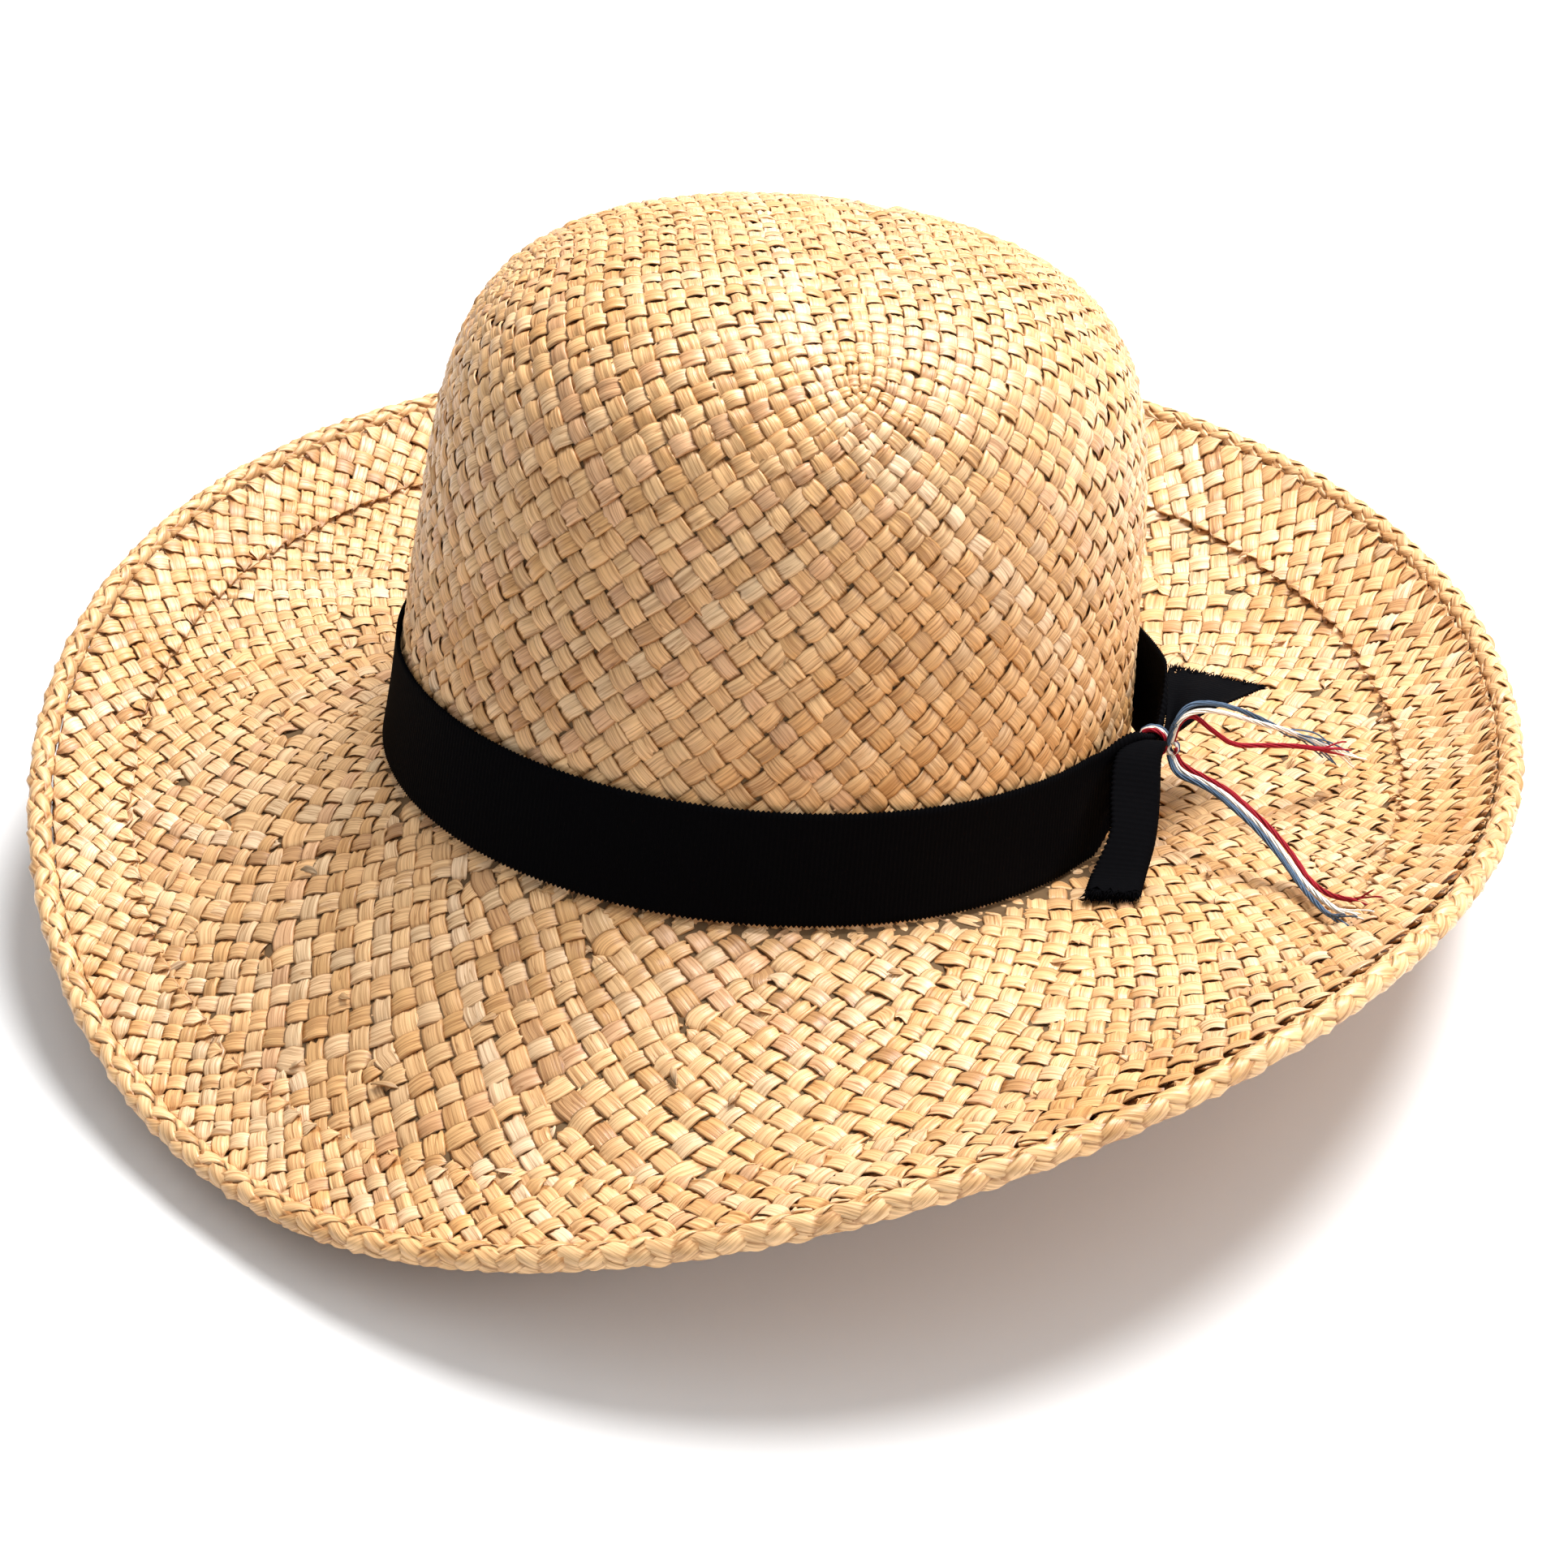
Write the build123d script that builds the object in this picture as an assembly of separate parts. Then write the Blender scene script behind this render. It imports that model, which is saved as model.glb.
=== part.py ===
"""A hand-woven straw sun hat with a tied grosgrain band.

Millimetres. +Z points up through the crown. The origin is the centre of the oval where
the crown meets the upper face of the brim. -Y is the side where the brim dips.
"""
from build123d import *
import os
from math import cos, sin, pi, radians, degrees, hypot, atan2

# ---- driving dimensions -------------------------------------------------------------
CROWN_HALF_WIDTH = 90.3        # half of the oval's short axis, outside the straw
CROWN_HALF_LENGTH = 97.9       # half of the oval's long axis
CROWN_TURN = radians(-19)      # the oval's turn about +Z
CROWN_HEIGHT = 128.0
CROWN_TAPER = 0.12             # share of the radius lost between the base and the top
SHOULDER_POWER = 7.8           # a higher power gives a tighter shoulder
TOP_POWER = 3.2                # a higher power gives a flatter top
STRAW_THICK = 1.8              # two crossing strands

RIM_RADIUS = 185.4             # mean outer radius of the rim braid
RIM_RADIUS_WAVES = ((1, 12.1, 45), (2, 5.9, 78), (3, 7.3, 55))       # order, mm, crest azimuth
RIM_HEIGHT = 8.8               # mean height of the rim above the origin
RIM_HEIGHT_WAVES = ((1, 41.6, 51), (2, 16.6, -44), (3, 5.7, 56.6))
CURL_DEPTH = 7.0               # how far the brim sags below a straight line to the rim
CURL_DEPTH_WAVES = ((1, 2.5, 40),)
CURL_NORM = 2.12               # makes the curl curve t(1 - t^3) peak at one

BRAID_RADIUS = 2.6
HEM_WIDTH = 24.0
HEM_THICK = 1.2
GAP = 0.15                     # air left between two pieces that touch on the real hat

BAND_WIDTH = 26.0
BAND_THICK = 0.8
BAND_CLEARANCE = 0.4           # the band slides up off the crown
BAND_BOTTOM = 1.2
TIE_AZIMUTH = radians(-19)
TIE_STANDOFF = 6.0             # centre of the gathered ribbon from the crown's base oval
TIE_HEIGHT = 25.0
NECK_HEIGHT = 4.0              # height of the band where the thread gathers it
NECK_THICK = 2.0
NECK_HALF_ANGLE = 11.0         # degrees from the tie over which the band is gathered
STANDOFF_FRONT = 17.0          # degrees before the tie over which the band leaves the crown
STANDOFF_BACK = 36.0           # the same beyond the tie
RISE_BACK = 90.0               # degrees beyond the tie over which the band still rides high

WRAP_RADIUS = 3.6              # each colour of thread wraps once round the neck
THREAD_RADIUS = 0.45
WRAP_PITCH = 1.05
TAIL_PITCH = 1.4               # distance between the three threads of one tail

SWEATBAND_WIDTH = 25.0
SWEATBAND_THICK = 0.8
STITCH_COUNT = 64
STITCH_LENGTH = 4.0
STITCH_RADIUS = 0.3

CROWN_RINGS = 18
BRIM_RINGS = 14
RING_POINTS = 60
BAND_POINTS = 120

THREAD_COLOURS = ("red", "white", "blue")


# ---- the hat's surface --------------------------------------------------------------
def waves(mean, terms, azimuth):
    """A closed curve round the hat: a mean plus a few waves."""
    return mean + sum(size * cos(order * (azimuth - radians(crest))) for order, size, crest in terms)


def oval_radius(azimuth):
    """Radius of the base oval at one azimuth."""
    along = cos(azimuth - CROWN_TURN) / CROWN_HALF_WIDTH
    across = sin(azimuth - CROWN_TURN) / CROWN_HALF_LENGTH
    return 1 / hypot(along, across)


def crown_scale(share):
    """Crown radius over the base radius at a share of the crown's height."""
    return (1 - CROWN_TAPER * share) * (1 - share**SHOULDER_POWER) ** (1 / TOP_POWER)


def crown_shares(count):
    """Shares of the height for even steps up the side and over the shoulder."""
    return [sin(pi / 2 * (i / count) ** 3) ** (2 / SHOULDER_POWER) for i in range(count)]


def rim_radius(azimuth):
    return waves(RIM_RADIUS, RIM_RADIUS_WAVES, azimuth)


def straw_edge_radius(azimuth):
    """Outer edge of the woven brim, inside the rim braid."""
    return rim_radius(azimuth) - 2 * BRAID_RADIUS - GAP


def brim_radius(azimuth, t):
    """t runs from 0 at the crown to 1 at the edge of the weave."""
    start = oval_radius(azimuth)
    return start + (straw_edge_radius(azimuth) - start) * t


def brim_height(azimuth, t):
    """Upper face of the brim: a slope to the rim that sags and then curls up."""
    sag = waves(CURL_DEPTH, CURL_DEPTH_WAVES, azimuth) * CURL_NORM * t * (1 - t**3)
    return waves(RIM_HEIGHT, RIM_HEIGHT_WAVES, azimuth) * t - sag


# ---- builders -----------------------------------------------------------------------
def polar(radius, azimuth, height):
    return Vector(radius * cos(azimuth), radius * sin(azimuth), height)


def ring(radius_of, height_of, count=RING_POINTS):
    """A closed spline round the hat."""
    turns = [2 * pi * i / count for i in range(count)]
    points = [polar(radius_of(a), a, height_of(a)) for a in turns]
    return Edge.make_spline(points, periodic=True)


def ring_solid(corners, count=RING_POINTS):
    """A closed hoop whose section has the given (radius, height) corners, in order."""
    edges = [ring(radius_of, height_of, count) for radius_of, height_of in corners]
    pairs = zip(edges, edges[1:] + edges[:1])
    return Solid(Shell([Face.make_surface_from_curves(a, b) for a, b in pairs]))


def strip(stations, thick):
    """A flat ribbon through (centre, half-width vector, face normal) stations."""
    sections = []
    for centre, half, normal in stations:
        lift = Vector(*normal).normalized() * (thick / 2)
        middle, side = Vector(*centre), Vector(*half)
        corners = [middle - side - lift, middle + side - lift, middle + side + lift, middle - side + lift]
        sections.append(Wire.make_polygon(corners, close=True))
    return Solid.make_loft(sections, ruled=True)


def thread(points, radius=THREAD_RADIUS):
    """A round thread along a smooth curve."""
    path = Edge.make_spline([Vector(*p) for p in points])
    section = Plane(origin=path @ 0, z_dir=path % 0) * Circle(radius)
    return sweep(section, path=path).solid()


# ---- straw --------------------------------------------------------------------------
def straw_body():
    """Crown and brim, woven in one piece."""
    shares = crown_shares(CROWN_RINGS)
    steps = [i / BRIM_RINGS for i in range(1, BRIM_RINGS + 1)]
    inner_share = (CROWN_HEIGHT - STRAW_THICK) / CROWN_HEIGHT

    def crown_ring(share, inset):
        scale = crown_scale(share)
        height = share * CROWN_HEIGHT if inset == 0 else share * CROWN_HEIGHT * inner_share
        return Wire([ring(lambda a: oval_radius(a) * scale - inset * min(1, scale), lambda a: height)])

    def brim_ring(t, drop):
        return Wire([ring(lambda a: brim_radius(a, t), lambda a: brim_height(a, t) - drop)])

    outside = [crown_ring(share, 0) for share in reversed(shares)] + [brim_ring(t, 0) for t in steps]
    corner = Wire([ring(lambda a: oval_radius(a) - STRAW_THICK, lambda a: -STRAW_THICK)])
    inside = [brim_ring(t, STRAW_THICK) for t in reversed(steps)] + [corner]
    inside += [crown_ring(share, STRAW_THICK) for share in shares[1:]]
    top = Vertex(0, 0, CROWN_HEIGHT)
    ceiling = Vertex(0, 0, CROWN_HEIGHT - STRAW_THICK)
    return Solid.make_loft([top] + outside + inside + [ceiling], ruled=True)


def hem_t(azimuth, back):
    """The t of a line a distance back from the edge of the weave."""
    return 1 - back / (straw_edge_radius(azimuth) - oval_radius(azimuth))


def brim_hem():
    """The strand ends turned back and woven again on the upper face along the rim."""
    def corner(share, lift):
        back = GAP + HEM_WIDTH * share
        return (
            lambda a: brim_radius(a, hem_t(a, back)),
            lambda a: brim_height(a, hem_t(a, back)) + lift,
        )

    steps = [1 - i / 4 for i in range(5)]
    lower = [corner(share, GAP) for share in steps]
    upper = [corner(share, GAP + HEM_THICK) for share in reversed(steps)]
    return ring_solid(lower + upper)


def rim_braid():
    """The plaited edge, a round cord just outside the weave."""
    def corner(turn):
        return (
            lambda a: rim_radius(a) - BRAID_RADIUS * (1 - cos(turn)),
            lambda a: brim_height(a, 1) + BRAID_RADIUS * sin(turn),
        )

    return ring_solid([corner(2 * pi * i / 12) for i in range(12)])


# ---- ribbon and thread --------------------------------------------------------------
def bump(angle, front, back):
    """One at the tie, falling smoothly to zero some degrees in front of it and beyond it."""
    away = degrees(atan2(sin(angle - TIE_AZIMUTH), cos(angle - TIE_AZIMUTH)))
    share = away / back if away > 0 else -away / front
    return cos(pi / 2 * min(1, share)) ** 2


def hat_band():
    """The grosgrain band, gathered to a narrow neck where the thread ties it."""
    def gather(a):
        return bump(a, NECK_HALF_ANGLE, NECK_HALF_ANGLE)

    full_rise = TIE_HEIGHT - BAND_BOTTOM - BAND_WIDTH / 2

    def height(a, top):
        rise = full_rise * bump(a, NECK_HALF_ANGLE, RISE_BACK)
        flat = BAND_BOTTOM + rise + (BAND_WIDTH if top else 0)
        neck = TIE_HEIGHT + (NECK_HEIGHT / 2 if top else -NECK_HEIGHT / 2)
        return flat + (neck - flat) * gather(a)

    def radius(a, top, outer):
        thick = BAND_THICK + (NECK_THICK - BAND_THICK) * gather(a)
        flat = oval_radius(a) * crown_scale(height(a, top) / CROWN_HEIGHT)
        flat += BAND_CLEARANCE + BAND_THICK / 2
        lean = bump(a, STANDOFF_FRONT, STANDOFF_BACK)
        middle = flat + (oval_radius(a) + TIE_STANDOFF - flat) * lean
        return middle + (thick / 2 if outer else -thick / 2)

    corners = [
        (lambda a, t=t, o=o: radius(a, t, o), lambda a, t=t: height(a, t))
        for t, o in ((False, False), (False, True), (True, True), (True, False))
    ]
    return ring_solid(corners, BAND_POINTS)


def tie_centre():
    return polar(oval_radius(TIE_AZIMUTH) + TIE_STANDOFF, TIE_AZIMUTH, TIE_HEIGHT)


def thread_wraps():
    """One hoop of each colour, side by side round the neck of the band."""
    along = Vector(-sin(TIE_AZIMUTH), cos(TIE_AZIMUTH), 0)
    wraps = {}
    for place, colour in enumerate(THREAD_COLOURS):
        centre = tie_centre() + along * (WRAP_PITCH * (place - 1))
        wraps[f"wrap_{colour}"] = Solid.make_torus(WRAP_RADIUS, THREAD_RADIUS, Plane(centre, z_dir=along))
    return wraps


def ribbon_tail_front():
    """The short end that hangs forward in front of the band and rests on the brim."""
    stations = [
        ((93.4, -38.5, 24.6), (2.0, 0, 0), (0, -0.4, 0.9)),
        ((89.6, -46.5, 20.8), (4.7, 0, 0), (0, -0.5, 0.85)),
        ((86.2, -58.0, 12.7), (5.0, 0, 0), (0, -0.5, 0.85)),
        ((83.2, -67.5, 6.4), (5.7, 0, 0.4), (0, -0.45, 0.9)),
        ((81.8, -71.5, 4.6), (5.9, 0, 0.8), (0, -0.4, 0.9)),
    ]
    return strip(stations, 2 * BAND_THICK)


def ribbon_tail_back():
    """The short end that stands back from the tie, cut on a slant."""
    stations = [
        ((97.6, -25.0, 26.8), (1.8, -0.9, 0), (0, 0, 1)),
        ((100.4, -19.3, 28.8), (4.3, -2.1, 0), (0, 0, 1)),
        ((104.1, -9.3, 29.6), (7.8, -4.1, 0), (0, 0, 1)),
        ((108.2, 1.7, 29.2), (9.9, -4.8, 0), (0, 0, 1)),
    ]
    return strip(stations, BAND_THICK)


def tail_threads(name, start, end, heights, spread):
    """Three threads side by side from the knot to a point on the brim.

    heights are the threads' heights at even steps, and spread widens them towards the ends.
    """
    start, end = Vector(*start), Vector(*end)
    run = end - start
    across = Vector(-run.Y, run.X, 0).normalized()
    threads = {}
    for place, colour in enumerate(THREAD_COLOURS):
        points = []
        for step, height in enumerate(heights):
            share = step / (len(heights) - 1)
            aside = TAIL_PITCH * (place - 1) * (1 + spread * share)
            spot = start + run * share + across * aside
            points.append((spot.X, spot.Y, height))
        threads[f"{name}_{colour}"] = thread(points)
    return threads


def thread_tails():
    upper = tail_threads(
        "upper_thread", (99.5, -31.2, 0), (147.0, -7.0, 0), (26.5, 33.0, 32.0, 26.5, 20.0, 15.6), 0.6
    )
    lower = tail_threads(
        "lower_thread", (98.4, -37.2, 0), (135.0, -90.0, 0), (22.5, 20.5, 19.5, 15.6, 16.4, 21.2), 0.8
    )
    return {**upper, **lower}


# ---- inside the crown ---------------------------------------------------------------
def lining_radius(azimuth, height, inset):
    """Radius at an inset from the outside of the crown."""
    return oval_radius(azimuth) * crown_scale(height / CROWN_HEIGHT) - inset


def sweatband():
    """The grosgrain band that touches the head."""
    outer = STRAW_THICK + GAP + 0.15
    inner = outer + SWEATBAND_THICK
    sides = ((0, outer), (0, inner), (SWEATBAND_WIDTH, inner), (SWEATBAND_WIDTH, outer))
    return ring_solid([(lambda a, h=h, d=d: lining_radius(a, h, d), lambda a, h=h: h) for h, d in sides])


def sweatband_stitches():
    """Running stitches near the lower edge of the sweatband."""
    height = 3.0
    inset = STRAW_THICK + 2 * GAP + SWEATBAND_THICK + STITCH_RADIUS + 0.2
    stitches = []
    for i in range(STITCH_COUNT):
        azimuth = 2 * pi * i / STITCH_COUNT
        step = 0.01
        middle = polar(lining_radius(azimuth, height, inset), azimuth, height)
        ahead = polar(lining_radius(azimuth + step, height, inset), azimuth + step, height)
        along = (ahead - middle).normalized()
        start = Plane(middle - along * (STITCH_LENGTH / 2), z_dir=along)
        stitches.append(Solid.make_cylinder(STITCH_RADIUS, STITCH_LENGTH, start))
    return Compound(stitches)


# ---- write the parts ----------------------------------------------------------------
def build():
    nodes = {
        "straw_body": straw_body(),
        "brim_hem": brim_hem(),
        "rim_braid": rim_braid(),
        "hat_band": hat_band(),
        "ribbon_tail_front": ribbon_tail_front(),
        "ribbon_tail_back": ribbon_tail_back(),
        "sweatband": sweatband(),
        "sweatband_stitches": sweatband_stitches(),
    }
    nodes.update(thread_wraps())
    nodes.update(thread_tails())
    return nodes


os.makedirs("parts", exist_ok=True)
for node, shape in build().items():
    export_step(shape, f"parts/{node}.step")
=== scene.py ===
import bpy
import math
import numpy as np
from mathutils import Matrix, Vector


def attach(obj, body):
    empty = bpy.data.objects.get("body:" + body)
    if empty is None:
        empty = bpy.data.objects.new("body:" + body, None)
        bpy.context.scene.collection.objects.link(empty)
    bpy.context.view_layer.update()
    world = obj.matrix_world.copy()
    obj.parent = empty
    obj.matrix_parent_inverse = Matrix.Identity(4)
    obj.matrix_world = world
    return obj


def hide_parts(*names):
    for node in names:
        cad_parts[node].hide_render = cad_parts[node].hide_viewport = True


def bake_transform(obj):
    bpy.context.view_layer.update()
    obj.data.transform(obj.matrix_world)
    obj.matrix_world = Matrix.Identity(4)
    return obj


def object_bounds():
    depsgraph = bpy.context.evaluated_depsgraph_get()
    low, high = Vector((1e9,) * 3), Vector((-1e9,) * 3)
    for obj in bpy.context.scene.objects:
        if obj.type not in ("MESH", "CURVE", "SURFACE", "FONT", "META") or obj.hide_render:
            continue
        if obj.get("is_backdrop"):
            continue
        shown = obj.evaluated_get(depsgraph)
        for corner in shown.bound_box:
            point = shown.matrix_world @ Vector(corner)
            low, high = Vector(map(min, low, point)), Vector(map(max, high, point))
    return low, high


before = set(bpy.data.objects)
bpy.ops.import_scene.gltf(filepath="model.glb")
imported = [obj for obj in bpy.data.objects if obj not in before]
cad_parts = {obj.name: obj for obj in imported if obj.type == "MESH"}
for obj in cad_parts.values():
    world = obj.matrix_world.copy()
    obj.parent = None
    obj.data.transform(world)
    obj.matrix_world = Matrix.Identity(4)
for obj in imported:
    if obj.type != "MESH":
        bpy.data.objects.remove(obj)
start_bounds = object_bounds()
rng = np.random.default_rng(11)

MM = 0.001                      # all shape work is in millimetres, written to the meshes in metres
TAU = 2 * math.pi

# ---- the hat's surface, the same as the CAD shell ------------------------------------
HALF_WIDTH, HALF_LENGTH, OVAL_TURN = 90.3, 97.9, math.radians(-19)
CROWN_HEIGHT, CROWN_TAPER, SHOULDER_POWER, TOP_POWER = 128.0, 0.12, 7.8, 3.2
RIM_RADIUS, RIM_RADIUS_WAVES = 185.4, ((1, 12.1, 45), (2, 5.9, 78), (3, 7.3, 55))
RIM_HEIGHT, RIM_HEIGHT_WAVES = 8.8, ((1, 41.6, 51), (2, 16.6, -44), (3, 5.7, 56.6))
CURL_DEPTH, CURL_DEPTH_WAVES, CURL_NORM = 7.0, ((1, 2.5, 40),), 2.12
BRAID_RADIUS = 2.6
MEAN_CROWN_RADIUS = 94.0
BAND_WIDTH, BAND_BOTTOM = 26.0, 1.2
TIE_AZIMUTH, TIE_STANDOFF, TIE_HEIGHT = math.radians(-19), 6.0, 25.0
BRIM_SLOPE = 0.35               # mean steepness of the brim, for the weave's spacing
CREASE_OFFSET, CREASE_LEAN, CREASE_WIDTH, CREASE_DEPTH = 8.0, 0.12, 3.2, 1.1


def waves(mean, terms, azimuth):
    """A mean value plus waves round the hat, each with its order, size and crest in degrees."""
    return mean + sum(
        size * np.cos(order * (azimuth - math.radians(crest))) for order, size, crest in terms
    )


def oval_radius(azimuth):
    turned = azimuth - OVAL_TURN
    return 1 / np.hypot(np.cos(turned) / HALF_WIDTH, np.sin(turned) / HALF_LENGTH)


def crown_scale(share):
    return (1 - CROWN_TAPER * share) * np.maximum(1 - share**SHOULDER_POWER, 0) ** (1 / TOP_POWER)


def edge_radius(azimuth):
    return waves(RIM_RADIUS, RIM_RADIUS_WAVES, azimuth) - 2 * BRAID_RADIUS


def brim_height(azimuth, t):
    sag = waves(CURL_DEPTH, CURL_DEPTH_WAVES, azimuth) * CURL_NORM * t * (1 - t**3)
    return waves(RIM_HEIGHT, RIM_HEIGHT_WAVES, azimuth) * t - sag


def profile_tables():
    """The mean profile from the crown's centre to the rim.

    Returns the run, the share of the crown's height, the share of the brim and the log weave radius.
    """
    turn = math.pi / 2 * np.linspace(1, 0, 4000) ** 3
    share = np.sin(turn) ** (2 / SHOULDER_POWER)
    radius = MEAN_CROWN_RADIUS * crown_scale(share)
    brim = np.linspace(0, 1, 400)[1:]
    width = RIM_RADIUS - 2 * BRAID_RADIUS - MEAN_CROWN_RADIUS
    radius = np.concatenate([radius, MEAN_CROWN_RADIUS + brim * width])
    height = np.concatenate([CROWN_HEIGHT * share, brim * width * BRIM_SLOPE])
    t = np.concatenate([0 * share, brim])
    share = np.concatenate([share, 0 * brim])
    run = np.concatenate([[0], np.cumsum(np.hypot(np.diff(radius), np.diff(height)))])
    first = int(np.searchsorted(run, 1.0))
    step = np.diff(run[first:]) * 0.5 * (1 / radius[first:-1] + 1 / radius[first + 1:])
    log_radius = math.log(run[first]) + np.concatenate([[0], np.cumsum(step)])
    return run[first:], share[first:], t[first:], log_radius


RUN, SHARE, BRIM_T, LOG_RADIUS = profile_tables()
LOG_BASE = float(np.interp(1e-9, BRIM_T, LOG_RADIUS))
LOG_RIM = float(LOG_RADIUS[-1])


def crease(x, y, share):
    """Depth of a shallow fold pressed across the crown's top from back to front."""
    across = x - CREASE_OFFSET - CREASE_LEAN * y
    return CREASE_DEPTH * np.exp(-(across / CREASE_WIDTH) ** 2) * np.clip((share - 0.93) / 0.05, 0, 1)


def surface(z):
    """Points of the hat's outer face for complex weave-plane positions z."""
    azimuth, log_radius = np.angle(z), np.log(np.abs(z) + 1e-9)
    share = np.interp(log_radius, LOG_RADIUS, SHARE)
    t = np.interp(log_radius, LOG_RADIUS, BRIM_T)
    base = oval_radius(azimuth)
    crown = base * np.where(log_radius < LOG_RADIUS[0], np.abs(z) / MEAN_CROWN_RADIUS, crown_scale(share))
    radius = np.where(t > 0, base + (edge_radius(azimuth) - base) * t, crown)
    height = np.where(t > 0, brim_height(azimuth, t), CROWN_HEIGHT * share)
    x, y = radius * np.cos(azimuth), radius * np.sin(azimuth)
    return np.stack([x, y, height - crease(x, y, share)], -1)


def unit(v):
    return v / np.maximum(np.linalg.norm(v, axis=-1, keepdims=True), 1e-12)


def surface_normal(z):
    step = 1e-3
    along = surface(z * (1 + step)) - surface(z * (1 - step))
    around = surface(z * np.exp(1j * step)) - surface(z * np.exp(-1j * step))
    return unit(np.cross(along, around))


# ---- the weave ----------------------------------------------------------------------
# A plain weave laid out by a complex map w(z). Family A strands run along Im w = n + 1/2 and
# family B along Re w = m + 1/2. Four corners shape the crown, and extra strands join in over
# the brim, one of each family at a time, so that the pitch stays even and over and under agree.
CORNER_STRANDS = 20
CORNER_RUN = 74.0               # from the crown's centre to each corner, over the top
CORNER_AZIMUTH = math.radians(-80)
EXTRA_STRANDS = 80
CROWN_TURNS = CORNER_STRANDS * 2 * math.sqrt(2) / math.pi
EXTRA_TURN = math.sqrt(2) / TAU
EXTRA_BAND = (0.04, 0.94)       # shares of the brim over which strands are added
EXTRA_DEPTH_STEP = 0.7548776662 # steps that spread points evenly in depth and round the hat
EXTRA_TURN_STEP, EXTRA_TURN_START = 2.399963, 0.4
BRIM_UNITS, HEM_UNITS, CROWN_UNITS = 46, 8, 68  # longest strands, in crossings
BRIM_STRAND_END, CROWN_STRAND_END = 0.97, 1.02  # shares of the crown's base radius
STEPS = 7       # samples per crossing
TIGHTEST = 2.5                  # a strand stops where the weave is this much closer than nearby

CORNER = math.exp(float(np.interp(CORNER_RUN, RUN, LOG_RADIUS))) * np.exp(1j * CORNER_AZIMUTH)
SPIRAL = np.exp(1j * math.pi / 4)


def extra_places():
    """Spread the added strands evenly over the brim."""
    k = np.arange(EXTRA_STRANDS)
    depth = EXTRA_BAND[0] + (EXTRA_BAND[1] - EXTRA_BAND[0]) * ((k * EXTRA_DEPTH_STEP) % 1)
    azimuth = (k * EXTRA_TURN_STEP + EXTRA_TURN_START) % TAU
    return np.exp(np.interp(depth, BRIM_T, LOG_RADIUS) + 1j * azimuth)


EXTRA_PLACES = extra_places()
EXTRA_WEIGHTS = (1 - (CORNER / EXTRA_PLACES) ** 4) ** 0.25
EXTRA_SORTED = np.sort(np.log(np.abs(EXTRA_PLACES)))


def turns(z):
    """Strands per radian round the hat, times the square root of two, at z."""
    z = z[..., None]
    return CROWN_TURNS + EXTRA_TURN * (EXTRA_WEIGHTS * z / (z - EXTRA_PLACES)).sum(-1)


def slope_outer(z):
    """dw/dz outside the crown's corners."""
    return SPIRAL / z * (1 - (CORNER / z) ** 4) ** -0.25 * turns(z)


def slope_tracked(z, last):
    """dw/dz anywhere, on the branch nearest to the last value along the strand."""
    value = SPIRAL / CORNER * ((z / CORNER) ** 4 - 1 + 0j) ** -0.25 * turns(z)
    return value * 1j ** np.round(np.angle(last / value) / (math.pi / 2))


def too_tight(z, slope):
    joined = np.searchsorted(EXTRA_SORTED, np.log(np.abs(z)))
    return (np.abs(slope * z) > TIGHTEST * (CROWN_TURNS + EXTRA_TURN * joined)) & (joined > 0)


def outer(z, last):
    return slope_outer(z)


def tracked(z, last):
    """Near the centre dw/dz points along 1 / CORNER, which picks the first branch."""
    return slope_tracked(z, 1 / CORNER if last is None else last)


def trace(z, heading, slope, units, stop, steps=STEPS):
    """Follow strands from z with a heading in w. Returns positions (strand, step) and good lengths."""
    step, last = 1 / steps, slope(z, None)
    path, alive, lengths = [z], np.ones(z.shape, bool), np.ones(z.shape, int)
    for _ in range(int(units * steps)):
        k1 = heading / slope(z, last)
        k2 = heading / slope(z + k1 * step / 2, last)
        k3 = heading / slope(z + k2 * step / 2, last)
        k4 = heading / slope(z + k3 * step, last)
        z = z + np.where(alive, step * (k1 + 2 * k2 + 2 * k3 + k4) / 6, 0)
        last = np.where(alive, slope(z, last), last)
        alive = alive & ~stop(z) & ~too_tight(z, last)
        path.append(z)
        lengths = lengths + alive
    return np.stack(path, 1), lengths


def rim_starts():
    """Where each family crosses the rim: z, the strand's whole number and the other part of w."""
    azimuth = np.linspace(0, TAU, 14401)
    z = np.exp(LOG_RIM + 1j * azimuth)
    rate = slope_outer(z) * 1j * z
    w = np.concatenate([[0], np.cumsum(0.5 * (rate[1:] + rate[:-1]) * np.diff(azimuth))])
    starts = []
    for value, other, flip in ((w.imag, w.real, False), (-w.real, w.imag, True)):
        lines = np.arange(math.ceil(value[0] - 0.5), math.floor(value[-1] - 0.5 - 1e-6) + 1)
        spot = np.interp(lines + 0.5, value, azimuth)
        number = -lines - 1 if flip else lines
        starts.append((np.exp(LOG_RIM + 1j * spot), number, np.interp(spot, azimuth, other)))
    return starts


def lift(number, along, family_b):
    """1 where a strand is over, -1 where it is under."""
    sign = np.where(number % 2 == 0, 1.0, -1.0)[:, None] * (-1 if family_b else 1)
    return sign * np.cos(math.pi * (along - 0.5))


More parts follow.
